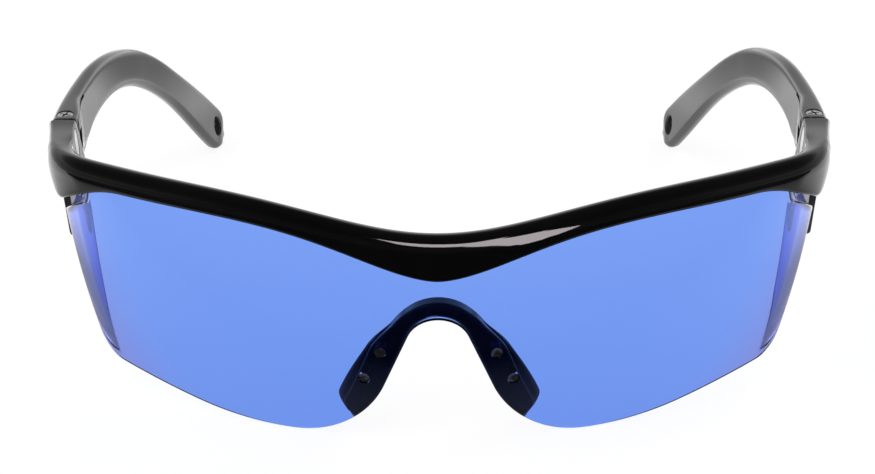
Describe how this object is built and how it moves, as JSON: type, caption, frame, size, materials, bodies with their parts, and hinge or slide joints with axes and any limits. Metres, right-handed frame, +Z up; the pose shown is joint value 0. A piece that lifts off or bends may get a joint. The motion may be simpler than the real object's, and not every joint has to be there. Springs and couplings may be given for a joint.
{
  "type": "protective glasses",
  "caption": "Wraparound half-frame protective glasses: tinted shield lens in a black brow frame, soft nose bridge, folding temples with side wings, bent-down ends and lanyard holes.",
  "frame": {"origin": "centre of the underside of the whole object's box, temples open, on the plane it rests on", "axes": "+X runs to the right seen from the front, +Y runs back along the temples (the lens faces -Y), +Z is up"},
  "size_m": [0.1522, 0.1534, 0.0526],
  "materials": {
    "gloss_black_nylon": "glossy moulded nylon",
    "blue_polycarbonate": "clear blue tint, polished",
    "soft_black_elastomer": "soft matte",
    "satin_black_nylon": "satin moulded nylon",
    "steel_screw": "plain steel"
  },
  "bodies": {
    "front": {"brow_frame": "gloss_black_nylon", "lens": "blue_polycarbonate", "nose_bridge": "soft_black_elastomer"},
    "left_temple": {"temple_left": "satin_black_nylon", "hinge_screw_left": "steel_screw", "hinge_nut_left": "steel_screw"},
    "right_temple": {"temple_right": "satin_black_nylon", "hinge_screw_right": "steel_screw", "hinge_nut_right": "steel_screw"}
  },
  "joints": [
    {"name": "right_temple_hinge", "type": "hinge", "parent": "front", "child": "right_temple", "pos_m": [0.0732, -0.029, 0.04465], "axis": [0, 0, 1], "range_deg": [0, 84]},
    {"name": "left_temple_hinge", "type": "hinge", "parent": "front", "child": "left_temple", "pos_m": [-0.0732, -0.029, 0.04465], "axis": [0, 0, -1], "range_deg": [0, 90]}
  ]
}
